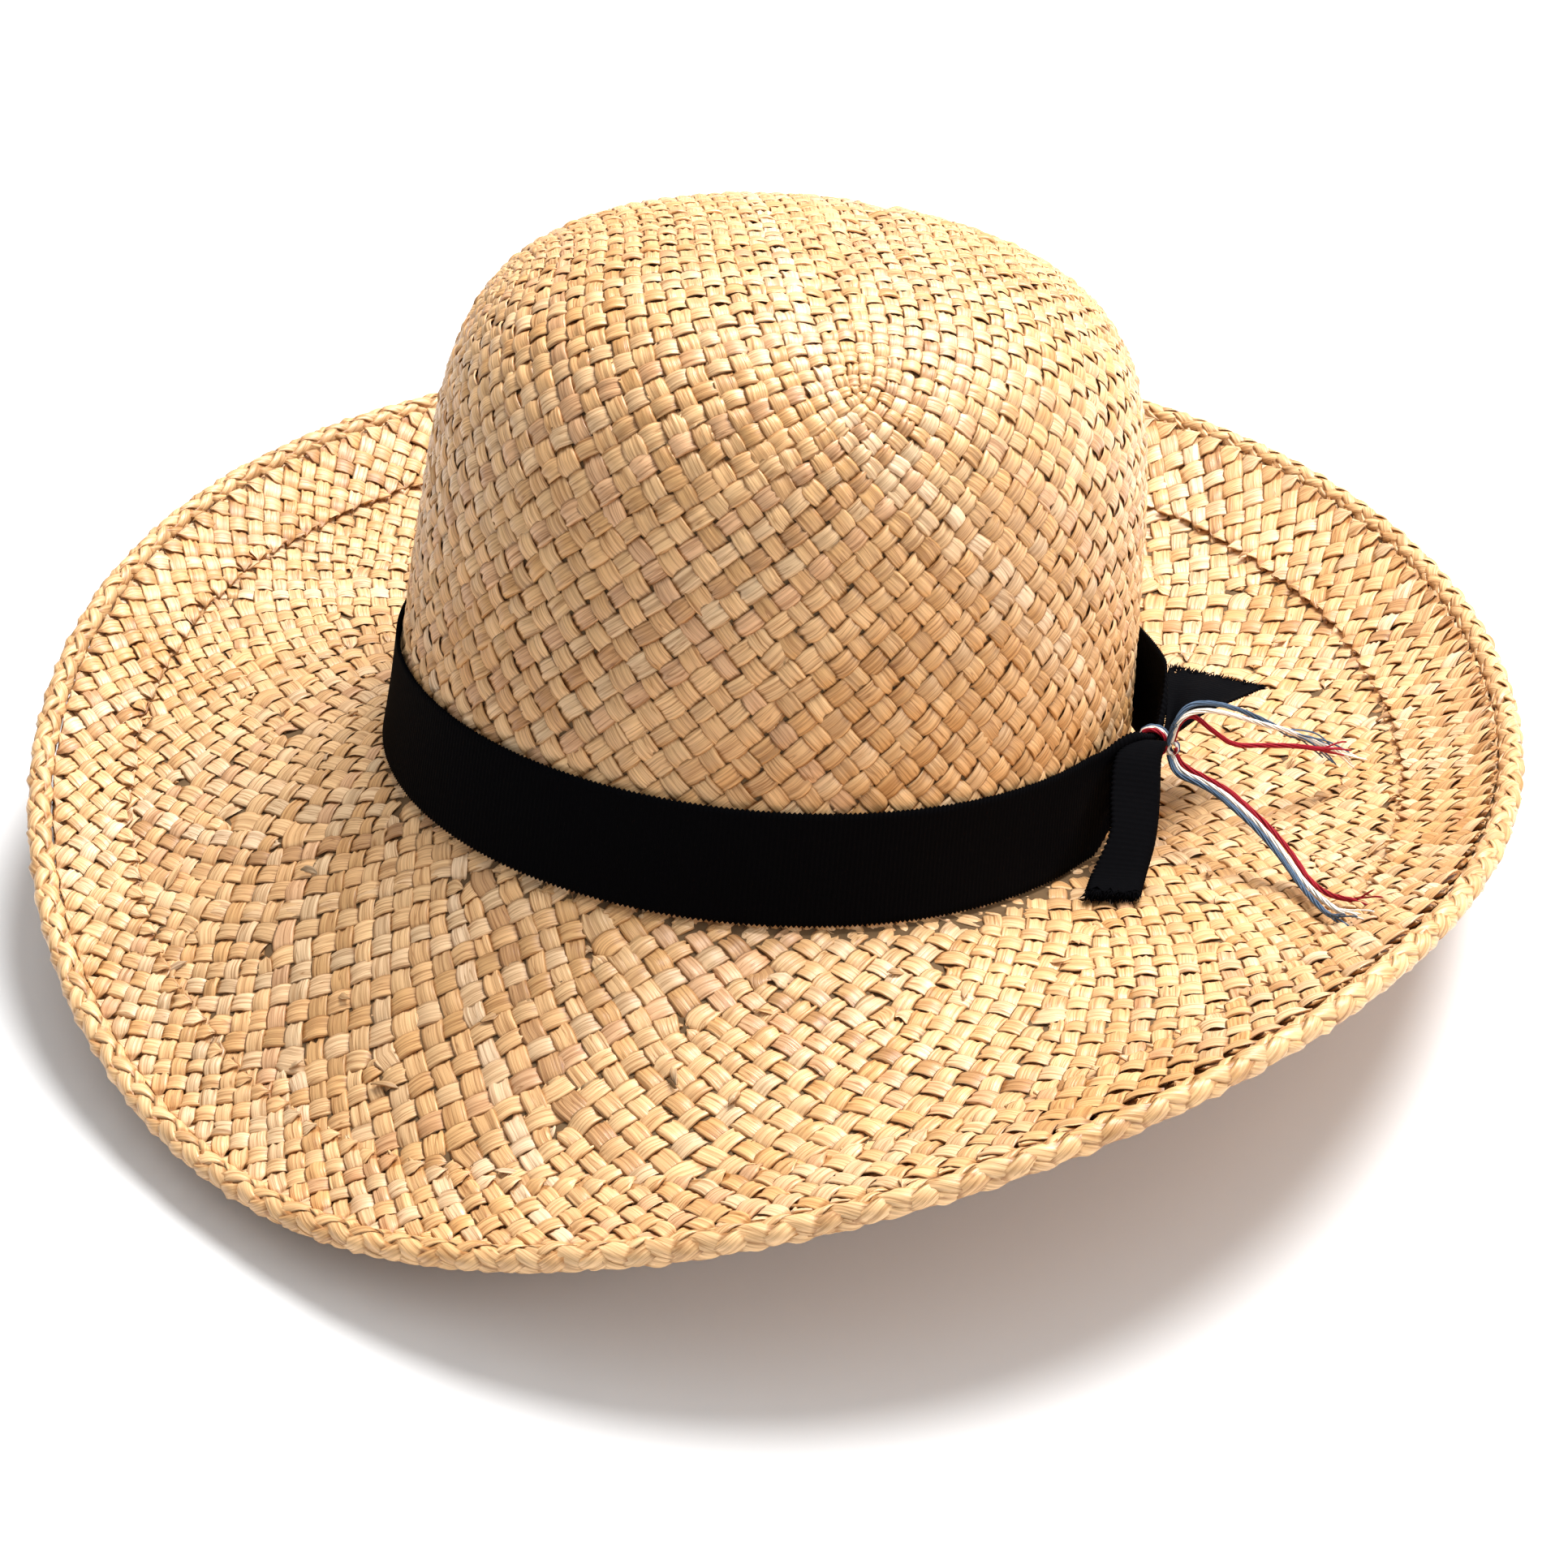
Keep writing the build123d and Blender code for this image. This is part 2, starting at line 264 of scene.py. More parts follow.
def rim_strands(inward):
    """Brim strands from the rim in to the crown, or hem strands from the rim back over the brim."""
    base = math.exp(LOG_BASE) * BRIM_STRAND_END
    for family_b, (z, number, other) in zip((False, True), rim_starts()):
        along_line = 1j if family_b else 1
        sign = -np.sign((np.conj(z) * along_line / slope_outer(z)).real)
        sign = sign if inward else -sign
        if inward:
            path, lengths = trace(z, sign * along_line, outer, BRIM_UNITS, lambda q: np.abs(q) < base)
        else:
            path, lengths = trace(z, sign * along_line, outer, HEM_UNITS, lambda q: np.abs(q) > 1e9)
        along = other[:, None] + sign[:, None] * np.arange(path.shape[1]) / STEPS
        yield path, lengths, lift(number, along, family_b)


def crown_strands():
    """Crown strands, each over the top from base to base."""
    base = math.exp(LOG_BASE) * CROWN_STRAND_END
    nearly_zero = np.array([1e-6 * CORNER, 1e-6 * CORNER])
    for family_b in (False, True):
        starts = []
        for side in (1, -1):
            across = side * (1 if family_b else 1j)
            spine, _ = trace(nearly_zero[:1], np.array([across]), tracked, CORNER_STRANDS, np.isnan, 4)
            starts.append(spine[0, 2:4 * CORNER_STRANDS:4])
        z = np.concatenate([starts[1][::-1], starts[0]])
        number = np.arange(-CORNER_STRANDS, CORNER_STRANDS)
        along_line = 1j if family_b else 1
        halves = [
            trace(z, np.full(z.shape, side * along_line), tracked, CROWN_UNITS, lambda q: np.abs(q) > base)
            for side in (1, -1)
        ]
        reach = halves[0][0].shape[1]
        path = np.concatenate([halves[1][0][:, :0:-1], halves[0][0]], 1)
        along = np.arange(1 - reach, reach)[None, :] / STEPS + 0 * number[:, None]
        first = reach - halves[1][1]
        yield path, first, reach - 1 + halves[0][1], lift(number, along, family_b)


# ---- strands as meshes --------------------------------------------------------------
STRAND_THICK = 0.62
WEAVE_DEPTH = 0.95              # the weave's middle below the hat's outer face
WAVE_HEIGHT = 0.54
STRAND_FILL = 1.0               # strand width over the pitch
SHIFT = 0.07                    # how far a strand strays sideways, in pitches
PINCH = 0.07                    # how much narrower a strand is where it dives
LANES = np.array([-1.0, -0.78, -0.42, 0.0, 0.42, 0.78, 1.0, 0.55, 0.0, -0.55])
ON_TOP = np.array([1, 1, 1, 1, 1, 1, 1, -1, -1, -1])
FOLD_HEIGHT = 0.15
WIDTH_LIMITS = (0.9, 3.3)       # least and greatest half-width
WIDTH_WANDER = 0.05
UNEVEN_WIDTH = (0.86, 1.06)     # width of each visible stretch
UNEVEN_WAVE = (0.8, 1.25)       # looseness of each visible stretch
TAPER_STEPS, TAPER_LEAST = 4, 0.15
CREASED_SHARE = 0.55            # share of the visible stretches with a lengthwise crease
CREASE_GROOVE = 0.2
STRAW_COLOURS = np.array([
    (0.86, 0.545, 0.27), (0.81, 0.485, 0.225), (0.75, 0.43, 0.18), (0.87, 0.585, 0.33),
    (0.80, 0.555, 0.32), (0.80, 0.475, 0.255), (0.60, 0.33, 0.145), (0.91, 0.65, 0.41),
])
STRAW_SHARES = np.array([0.33, 0.24, 0.13, 0.11, 0.07, 0.05, 0.02, 0.05])


def strand_colour(count):
    pick = rng.choice(len(STRAW_COLOURS), count, p=STRAW_SHARES / STRAW_SHARES.sum())
    return STRAW_COLOURS[pick] * rng.uniform(0.94, 1.05, (count, 1))


def wander(points, scale, size):
    """Smooth random values along one strand."""
    knots = rng.normal(0, size, int(points / scale) + 3)
    return np.interp(np.arange(points) / scale, np.arange(len(knots)), knots)


def per_crossing(height, low, high):
    """One random value for each stretch between two dives."""
    crossing = np.concatenate([[0], np.cumsum(np.diff(height > 0) != 0)])
    return rng.uniform(low, high, crossing[-1] + 1)[crossing]


def eased_crossings(height, low, high):
    """Random values per stretch, running smoothly from one into the next."""
    return np.convolve(np.pad(per_crossing(height, low, high), 2, mode="edge"), np.ones(5) / 5, "valid")


def lens(centre, side, normal, half, thick, rise):
    """Rings of a flat folded strand: (step, lane, xyz)."""
    dome = np.sqrt(1 - np.abs(LANES) ** 3 * 0.98) * ON_TOP * thick / 2
    across = side[:, None] * (LANES[None, :, None] * half[:, None, None])
    return centre[:, None] + across + normal[:, None] * (dome[None] + rise)[..., None]


def strand_rings(centre, up, spread, height, fill=STRAND_FILL, thick=STRAND_THICK, curve=0.0):
    """One strand round its centre line: its rings, running length, half-width and the mask for painted
    shade lines along its edges and creases.
    """
    count = len(centre)
    along = unit(np.gradient(centre, axis=0))
    spread = spread - along * (spread * along).sum(-1, keepdims=True)
    side = unit(spread)
    normal = np.cross(along, side)
    flip = np.sign((normal * up).sum(-1))
    normal = normal * flip[:, None]
    pitch = np.linalg.norm(spread, axis=-1)
    half = np.clip(pitch * fill / 2, *WIDTH_LIMITS) * (1 + wander(count, 2 * STEPS, WIDTH_WANDER))
    uneven = eased_crossings(height, *UNEVEN_WIDTH)
    half = half * uneven * (1 - PINCH * (1 - np.minimum(np.abs(height) * 1.4, 1)))
    from_end = np.minimum(np.arange(count), np.arange(count)[::-1])
    ends = np.clip(from_end / TAPER_STEPS, TAPER_LEAST, 1)
    inner = (ON_TOP > 0) & (np.abs(LANES) < 0.9)
    flat = np.zeros(count)
    folds = np.stack([wander(count, 1.3 * STEPS, FOLD_HEIGHT) if keep else flat for keep in inner], 1)
    folds = folds + rng.normal(0, FOLD_HEIGHT * 0.6, len(LANES)) * inner
    creased = np.arange(len(LANES)) == np.floor(per_crossing(height, 2, 2 + 3 / CREASED_SHARE))[:, None]
    folds = folds - CREASE_GROOVE * creased - curve * (LANES[None] * half[:, None]) ** 2
    rings = lens(centre, side, normal, half * ends, thick, folds)
    length = np.cumsum(np.linalg.norm(np.diff(centre, axis=0, prepend=centre[:1]), axis=1))
    return rings, length, half, np.where(creased, 1.0, np.abs(LANES))


def woven_rings(z, height, depth, place=lambda q: q):
    """A strand of the hat's weave: its wave over and under, and its width from the local pitch."""
    z = z + 1j * np.gradient(z) * STEPS * wander(len(z), 1.6 * STEPS, SHIFT)
    flat = place(z)
    up = surface_normal(flat)
    loose = eased_crossings(height, *UNEVEN_WAVE)
    wave = np.sign(height) * np.abs(height) ** 0.8 * loose
    centre = surface(flat) + up * (WAVE_HEIGHT * wave - depth)[:, None]
    small = 0.05
    across = 1j * np.gradient(z) * STEPS * small
    spread = (surface(place(z + across)) - surface(place(z - across))) / (2 * small)
    return strand_rings(centre, up, spread, height, STRAND_FILL * rng.uniform(0.9, 1.1))


def end_caps(index, flips):
    """Quads that close both ends of a tube, given its rings of point numbers."""
    caps = []
    for row, flip in zip((index[0], index[-1]), flips):
        for a in range(len(row) // 2 - 1):
            cap = [row[a], row[a + 1], row[-2 - a], row[-1 - a]]
            caps.append(cap[::-1] if flip else cap)
    return np.array(caps)


class Batch:
    """Gathers strands and writes them as one mesh object."""

    def __init__(self):
        self.points, self.quads, self.colours, self.coords, self.edges = [], [], [], [], []
        self.size = 0

    def add(self, rings, length, half, edges, colour, height):
        count, lanes = rings.shape[:2]
        index = self.size + np.arange(count * lanes).reshape(count, lanes)
        after = np.roll(index, -1, axis=1)
        body = np.stack([index[:-1], index[1:], after[1:], after[:-1]], -1).reshape(-1, 4)
        self.quads.append(np.concatenate([body, end_caps(index, (False, True))]))
        self.points.append(rings.reshape(-1, 3) * MM)
        # the colour's alpha carries how far over or under the strand lies, for the painted shade where it
        # dives
        shade = np.clip(height, -1, 1)[:, None] * np.ones(lanes)
        patch = per_crossing(height, 0.9, 1.08)[:, None, None] * np.ones((1, lanes, 1))
        tint = colour * patch
        self.colours.append(np.concatenate([tint, (0.5 + 0.5 * shade)[..., None]], -1).reshape(-1, 4))
        across = np.broadcast_to(LANES[None] * half[:, None], (count, lanes))
        run = np.broadcast_to(length[:, None], (count, lanes))
        tag = np.full((count, lanes), rng.uniform(0, 500))
        self.coords.append(np.stack([run, across, tag], -1).reshape(-1, 3))
        self.edges.append(edges.reshape(-1))
        self.size += count * lanes

    def write(self, name, material, body, *nodes):
        points, quads = np.concatenate(self.points), np.concatenate(self.quads)
        obj = make_mesh(name, points, quads, material)
        add_attribute(obj, "straw_colour", "FLOAT_COLOR", "color", np.concatenate(self.colours))
        add_attribute(obj, "straw_coord", "FLOAT_VECTOR", "vector", np.concatenate(self.coords))
        # the mask for painted shade along strand edges and creases
        add_attribute(obj, "straw_edge_shade", "FLOAT", "value", np.concatenate(self.edges))
        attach(obj, body)
        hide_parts(*nodes)
        return obj


def make_mesh(name, points, quads, material):
    mesh = bpy.data.meshes.new(name)
    mesh.vertices.add(len(points))
    mesh.vertices.foreach_set("co", np.asarray(points, np.float32).ravel())
    mesh.loops.add(quads.size)
    mesh.loops.foreach_set("vertex_index", np.asarray(quads, np.int32).ravel())
    mesh.polygons.add(len(quads))
    mesh.polygons.foreach_set("loop_start", np.arange(0, quads.size, quads.shape[1], dtype=np.int32))
    mesh.polygons.foreach_set("use_smooth", np.ones(len(quads), bool))
    mesh.update(calc_edges=True)
    mesh.materials.append(material)
    obj = bpy.data.objects.new(name, mesh)
    bpy.context.scene.collection.objects.link(obj)
    return obj


def add_attribute(obj, name, kind, field, values):
    layer = obj.data.attributes.new(name, kind, "POINT")
    layer.data.foreach_set(field, np.asarray(values, np.float32).ravel())


# ---- materials ----------------------------------------------------------------------
PAINTED_SHADE_TINT = (0.40, 0.26, 0.13)  # colour of the painted shade in a strand's folds, along its edges and where it dives under another
STAIN_TINT = (0.84, 0.74, 0.57, 1)
# two dark browns of the painted shade seen between the strands
GAP_SHADE_COLOURS = ((0.09, 0.054, 0.026, 1), (0.20, 0.122, 0.062, 1))


def new_material(name, colour, roughness):
    """A material with its shader, and a helper that adds nodes."""
    material = bpy.data.materials.new(name)
    material.use_nodes = True
    tree = material.node_tree
    shader = tree.nodes["Principled BSDF"]
    shader.inputs["Base Color"].default_value = (*colour, 1)
    shader.inputs["Roughness"].default_value = roughness
    material.diffuse_color = (*colour, 1)

    def node(kind, inputs=(), **settings):
        made = tree.nodes.new(kind)
        for key, value in settings.items():
            setattr(made, key, value)
        for key, value in dict(inputs).items():
            if isinstance(value, bpy.types.NodeSocket):
                tree.links.new(value, made.inputs[key])
            else:
                made.inputs[key].default_value = value
        return made

    return material, shader, tree, node


def mixed(node, share, first, second):
    """The colour output of a mix of two colours."""
    return node("ShaderNodeMix", {0: share, 6: first, 7: second}, data_type="RGBA").outputs[2]


def straw_material():
    """Raffia: a colour per strand, streaks along it, painted shade in its folds, along its edges and where
    it dives, faint stains.
    """
    material, shader, tree, node = new_material("straw", (0.8, 0.62, 0.36), 0.5)
    colour = node("ShaderNodeAttribute", attribute_name="straw_colour")
    coord = node("ShaderNodeAttribute", attribute_name="straw_coord")
    edge = node("ShaderNodeAttribute", attribute_name="straw_edge_shade")
    place = node("ShaderNodeTexCoord")

    def along(run, across):
        inputs = {"Vector": coord.outputs["Vector"], "Scale": (run, across, 1.0)}
        return node("ShaderNodeMapping", inputs).outputs[0]

    def ramp(value, start, end, low, high):
        return node("ShaderNodeMapRange", {0: value, 1: start, 2: end, 3: low, 4: high}).outputs[0]

    def times(first, second):
        return node("ShaderNodeMath", {0: first, 1: second}, operation="MULTIPLY").outputs[0]

    fine = node("ShaderNodeTexNoise",
                {"Vector": along(0.05, 1.6), "Scale": 1.3, "Detail": 4.0, "Roughness": 0.55})
    broad = node("ShaderNodeTexNoise", {"Vector": along(0.07, 0.5), "Scale": 1.0, "Detail": 2.0})
    fold = node("ShaderNodeTexNoise", {"Vector": along(0.035, 0.8), "Scale": 1.0, "Detail": 1.0})
    stain = node("ShaderNodeTexNoise", {"Vector": place.outputs["Object"], "Scale": 16.0, "Detail": 3.0})
    centred = node("ShaderNodeMath", {0: fold.outputs[0], 1: 0.5}, operation="SUBTRACT")
    near_fold = node("ShaderNodeMath", {0: centred.outputs[0]}, operation="ABSOLUTE")
    # streak and wide are the straw's own grain and tone; the ramp on near_fold paints thin lines of shade
    # along the fold creases
    streak = ramp(fine.outputs[0], 0.36, 0.60, 0.60, 1.10)
    wide = ramp(broad.outputs[0], 0.3, 0.7, 0.84, 1.08)
    shade = times(times(streak, wide), ramp(near_fold.outputs[0], 0, 0.02, 0.5, 1))
    # painted shade where a strand dives under another (from the colour's alpha) and along its edges and
    # creases
    under = ramp(colour.outputs["Alpha"], 0.34, 0.58, 0.50, 1)
    dive_and_edge_shade = times(under, ramp(edge.outputs["Fac"], 0.8, 1, 1, 0.76))
    total = times(shade, dive_and_edge_shade)
    # painted shade: the strand's colour darkened by the shade tint, mixed in where grain, fold lines,
    # edges and dives add up low
    shade_tinted = node("ShaderNodeVectorMath", {0: colour.outputs["Color"], 1: PAINTED_SHADE_TINT}, operation="MULTIPLY")
    light = mixed(node, ramp(total, 0.25, 1.0, 0, 1), shade_tinted.outputs[0], colour.outputs["Color"])
    stained = mixed(node, ramp(stain.outputs[0], 0.52, 0.72, 0, 0.8), (1, 1, 1, 1), STAIN_TINT)
    final = node("ShaderNodeVectorMath", {0: light, 1: stained}, operation="MULTIPLY")
    tree.links.new(final.outputs[0], shader.inputs["Base Color"])
    height = node("ShaderNodeMath", {0: fine.outputs[0], 1: near_fold.outputs[0]}, operation="ADD")
    bump = node("ShaderNodeBump", {"Height": height.outputs[0], "Strength": 0.6, "Distance": 0.0003})
    tree.links.new(bump.outputs[0], shader.inputs["Normal"])
    tree.links.new(ramp(fine.outputs[0], 0.3, 0.7, 0.46, 0.3), shader.inputs["Roughness"])
    return material


def gap_shade_material():
    """The brown shade seen between the strands."""
    material, shader, tree, node = new_material("straw_gap_shade", (0.045, 0.026, 0.012), 0.9)
    place = node("ShaderNodeTexCoord")
    noise = node("ShaderNodeTexNoise", {"Vector": place.outputs["Object"], "Scale": 300.0})
    tree.links.new(mixed(node, noise.outputs[0], *GAP_SHADE_COLOURS), shader.inputs["Base Color"])
    shader.inputs["Specular IOR Level"].default_value = 0.1
    return material


def plain_material(name, colour, roughness, grain, size, depth, gloss=0.15):
    """Cloth or thread: a base colour broken up by fine grain, with a little fuzz."""
    material, shader, tree, node = new_material(name, colour, roughness)
    place = node("ShaderNodeTexCoord")
    noise = node("ShaderNodeTexNoise", {"Vector": place.outputs["Object"], "Scale": size, "Detail": 3.0})
    low, high = tuple(c * (1 - grain) for c in colour), tuple(c * (1 + grain) for c in colour)
    tree.links.new(mixed(node, noise.outputs[0], (*low, 1), (*high, 1)), shader.inputs["Base Color"])
    bump = node("ShaderNodeBump", {"Height": noise.outputs[0], "Strength": 0.4, "Distance": depth})
    tree.links.new(bump.outputs[0], shader.inputs["Normal"])
    shader.inputs["Specular IOR Level"].default_value = gloss
    return material


# ---- straw body and hem -------------------------------------------------------------
STRAW_PIECES = 12
HEM_DEPTH = 24.0
BACKING_DROP = 0.2              # the sheet of painted shade below the weave's middle
HEM_LIFT = 0.72                 # the hem weave's middle above the brim's face


def weave_body(material):
    batches = [Batch() for _ in range(STRAW_PIECES)]
    strands = []
    for path, lengths, height in rim_strands(True):
        strands += [(z[:n], h[:n]) for z, n, h in zip(path, lengths, height) if n > STEPS]
    for path, first, last, height in crown_strands():
        strands += [(z[a:b], h[a:b]) for z, a, b, h in zip(path, first, last, height)]
    for index, ((z, h), colour) in enumerate(zip(strands, strand_colour(len(strands)))):
        batches[index % STRAW_PIECES].add(*woven_rings(z, h, WEAVE_DEPTH), colour, h)
    for index, batch in enumerate(batches):
        piece = batch.write(f"straw_weave_{index + 1}", material, "hat", "straw_body")


def backing_sheet():
    """Painted shade between the strands: a thin dark sheet along the middle of the weave."""
    rows, columns = 90, 180
    log_radius = np.linspace(LOG_RADIUS[0] - 1.5, LOG_RIM, rows)
    azimuth = TAU * np.arange(columns) / columns
    z = np.exp(log_radius[:, None] + 1j * azimuth[None])
    points = surface(z) - surface_normal(z) * (WEAVE_DEPTH + BACKING_DROP)
    index = np.arange(rows * columns).reshape(rows, columns)
    after = np.roll(index, -1, 1)
    quads = np.stack([index[:-1], index[1:], after[1:], after[:-1]], -1).reshape(-1, 4)
    sheet = make_mesh("straw_gap_shade", points.reshape(-1, 3) * MM, quads, gap_shade_material())
    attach(sheet, "hat")
    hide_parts("straw_body")


def weave_hem(material):
    """The strands carry on over the rim and are woven back on top, ending in points."""
    rim = math.exp(LOG_RIM)
    batches = [Batch(), Batch()]
    fold = HEM_DEPTH / RIM_RADIUS
    for path, _, height in rim_strands(False):
        for index, (z, h, colour) in enumerate(zip(path, height, strand_colour(len(path)))):
            depth = np.log(np.abs(z)) - LOG_RIM
            end = int(np.searchsorted(depth, fold * rng.uniform(0.97, 1.03)))
            rings = woven_rings(z[:end], h[:end], -HEM_LIFT, lambda q: rim**2 / np.conj(q))
            batches[index % 2].add(*rings, colour * 1.03, h[:end])
    for index, batch in enumerate(batches):
        batch.write(f"hem_weave_{index + 1}", material, "hat", "brim_hem")


# ---- loose strand ends --------------------------------------------------------------
LOOSE_ENDS = 46
LOOSE_THICK = 0.4


def loose_ends(material):
    """A few strand ends that have worked out of the brim and curl up."""
    batch = Batch()
    for place in range(LOOSE_ENDS):
        t, azimuth = rng.uniform(0.12, 0.8), TAU * (place + rng.uniform(0, 1)) / LOOSE_ENDS
        start = np.exp(np.interp(t, BRIM_T, LOG_RADIUS) + 1j * azimuth)
        run = np.linspace(0, 1, 2 * STEPS)
        heading = np.exp(1j * (azimuth + rng.uniform(0, TAU)))
        length = rng.uniform(5, 10) / RIM_RADIUS * abs(start)
        bend = np.exp(1j * rng.uniform(-0.9, 0.9) * run)
        z = start + heading * length * np.cumsum(bend) / len(run)
        up = surface_normal(z)
        rise = rng.uniform(0.5, 1.6) * np.sin(math.pi * run * 0.7) + 0.55 * run
        centre = surface(z) + up * (rise - 0.75)[:, None]
        along = unit(np.gradient(centre, axis=0))
        twist = rng.uniform(-1.2, 1.2) * run[:, None]
        side = unit(np.cross(up, along))
        width = rng.uniform(1.6, 3.0) * (1 - 0.55 * run[:, None])
        spread = (side * np.cos(twist) + np.cross(along, side) * np.sin(twist)) * width
        height = np.full(len(run), 0.6)
        rings = strand_rings(centre, up, spread, height, 1.0, LOOSE_THICK)
        batch.add(*rings, strand_colour(1)[0] * rng.uniform(0.7, 1), height)
    batch.write("loose_ends", material, "hat", "straw_body")


# ---- rim braid ----------------------------------------------------------------------
BRAID_OUT, BRAID_UP = 2.5, 2.1  # half-axes of the braid's section
BRAID_STRETCH = 1.9             # length of a loop over its girth
BRAID_WIDTH, BRAID_THICK = 4.4, 0.8
BRAID_WAVE = 0.36
BRAID_FAMILY = 3                # strands in each direction
BRAID_STEPS = 6
CORE_RADIUS = 1.7               # the core, dark with painted shade, that shows between the braid's strands


def rim_frame(turn):
    """Centre line, outward and upward directions of the rim at azimuth turn."""
    radius = waves(RIM_RADIUS, RIM_RADIUS_WAVES, turn) - BRAID_OUT + 0.3
    height = brim_height(turn, 1.0) + 0.1
    centre = np.stack([radius * np.cos(turn), radius * np.sin(turn), height], -1)
    run = 0.03 * (edge_radius(turn) - oval_radius(turn))
    slope = (brim_height(turn, 1.0) - brim_height(turn, 0.97)) / run
    out = unit(np.stack([np.cos(turn), np.sin(turn), slope], -1))
    ahead = np.roll(centre, -1, axis=0) - centre
    ahead[-1] = ahead[-2]
    up = unit(np.cross(out, unit(ahead)))
    return centre, out, up


def braid_rim(material):
    """Six flat strands, three each way, woven into a tube round the rim."""
    turn = np.linspace(0, TAU, 4001)
    centre, out, up = rim_frame(turn)
    run = np.concatenate([[0], np.cumsum(np.linalg.norm(np.diff(centre, axis=0), axis=1))])
    mean_radius = (BRAID_OUT + BRAID_UP) / 2
    loops = BRAID_FAMILY * round(run[-1] / BRAID_STRETCH / mean_radius / TAU / BRAID_FAMILY)
    crossings = 2 * BRAID_FAMILY * loops
    steps = np.arange(crossings * BRAID_STEPS + 1) / BRAID_STEPS
    batch = Batch()
    for direction in (1, -1):
        for strand, colour in enumerate(strand_colour(BRAID_FAMILY)):
            share = steps / crossings
            angle = direction * (TAU * loops * share + TAU * strand / BRAID_FAMILY)
            height = np.cos(math.pi * steps) * direction
            where = share * run[-1]
            middle, outward, upward = (
                np.stack([np.interp(where, run, v[:, k]) for k in range(3)], 1) for v in (centre, out, up)
            )
            radial = outward * np.cos(angle)[:, None] * BRAID_OUT
            radial = radial + upward * np.sin(angle)[:, None] * BRAID_UP
            normal = unit(radial)
            line = middle + radial + normal * (BRAID_WAVE * height)[:, None]
            along = unit(np.gradient(line, axis=0))
            spread = np.cross(normal, along) * BRAID_WIDTH
            rings = strand_rings(line, normal, spread, height, 1.0, BRAID_THICK, 0.5 / mean_radius)
            batch.add(*rings, colour * 1.02, height)
    batch.write("rim_braid_weave", material, "hat", "rim_braid")


def braid_core():
    """The folded brim edge inside the braid, coloured with the dark painted shade of the gaps."""
    centre = rim_frame(np.linspace(0, TAU, 721))[0]
    points, quads = yarn(centre, np.full(len(centre), CORE_RADIUS), 8)
    core = make_mesh("rim_core", points, quads, gap_shade_material())
    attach(core, "hat")
    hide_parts("rim_braid")


# ---- ribbon -------------------------------------------------------------------------
RIB_PITCH = 1.1
RIB_HEIGHT = 0.07
END_RIB_HEIGHT = 0.03
BAND_ROWS, END_ROWS = 18, 27
FRONT_LENGTH, BACK_LENGTH, BACK_SLANT = 50.0, 38.0, 0.05
END_FRAYING = (0.93, 0.8)       # where along a ribbon end its edge turns ragged, and how ragged
END_YARNS, END_YARN_REACH = 420, 2.6
RIBBON_THICK = 0.6
PICOT = 0.28
RISE_BACK = 90.0                # degrees beyond the tie over which the band still rides high


def smooth(x):
    x = np.clip(x, 0, 1)
    return x * x * (3 - 2 * x)


def ribbon_points(sheet, length, rows, closed, fray=(0, 0), rib_height=RIB_HEIGHT):
    """A ribbed ribbon from sheet(run, across), run in mm and across 0 to 1. Returns points and quads."""
    columns = int(length / RIB_PITCH) * 4
    run = np.linspace(0, length, columns + (0 if closed else 1), endpoint=not closed)
    across = np.linspace(0, 1, rows)
    wave = np.cos(TAU * run / RIB_PITCH)
    edge = np.zeros(rows)
    edge[0], edge[-1] = -1, 1
    v = across[None] + edge[None] * (wave[:, None] * PICOT / BAND_WIDTH)
    u = run[:, None] + 0 * v
    if fray[1] > 0:
        ragged = rng.normal(0, fray[1], rows)
        u = u + smooth((u / length - fray[0]) / (1 - fray[0])) * ragged[None]
    middle = sheet(u, v)
    du = np.roll(middle, -1, 0) - np.roll(middle, 1, 0)
    if not closed:
        du[0], du[-1] = middle[1] - middle[0], middle[-1] - middle[-2]
    dv = np.gradient(middle, axis=1)
    normal = unit(np.cross(du, dv))
    rib = (rib_height * wave)[:, None, None] * normal
    front = middle + normal * RIBBON_THICK / 2 + rib
    back = middle - normal * RIBBON_THICK / 2 + rib
    ring = np.concatenate([front, back[:, ::-1]], 1)
    count, around = ring.shape[:2]
    index = np.arange(count * around).reshape(count, around)
    ahead = np.roll(index, -1, 0) if closed else index[1:]
    here = index if closed else index[:-1]
    quads = np.stack([here, ahead, np.roll(ahead, -1, 1), np.roll(here, -1, 1)], -1).reshape(-1, 4)
    if not closed:
        quads = np.concatenate([quads, end_caps(index, (False, True))])
    return ring.reshape(-1, 3) * MM, quads


def bump(azimuth, front, back):
    away = np.degrees(np.angle(np.exp(1j * (azimuth - TIE_AZIMUTH))))
    share = np.where(away > 0, away / back, -away / front)
    return np.cos(math.pi / 2 * np.clip(share, 0, 1)) ** 2


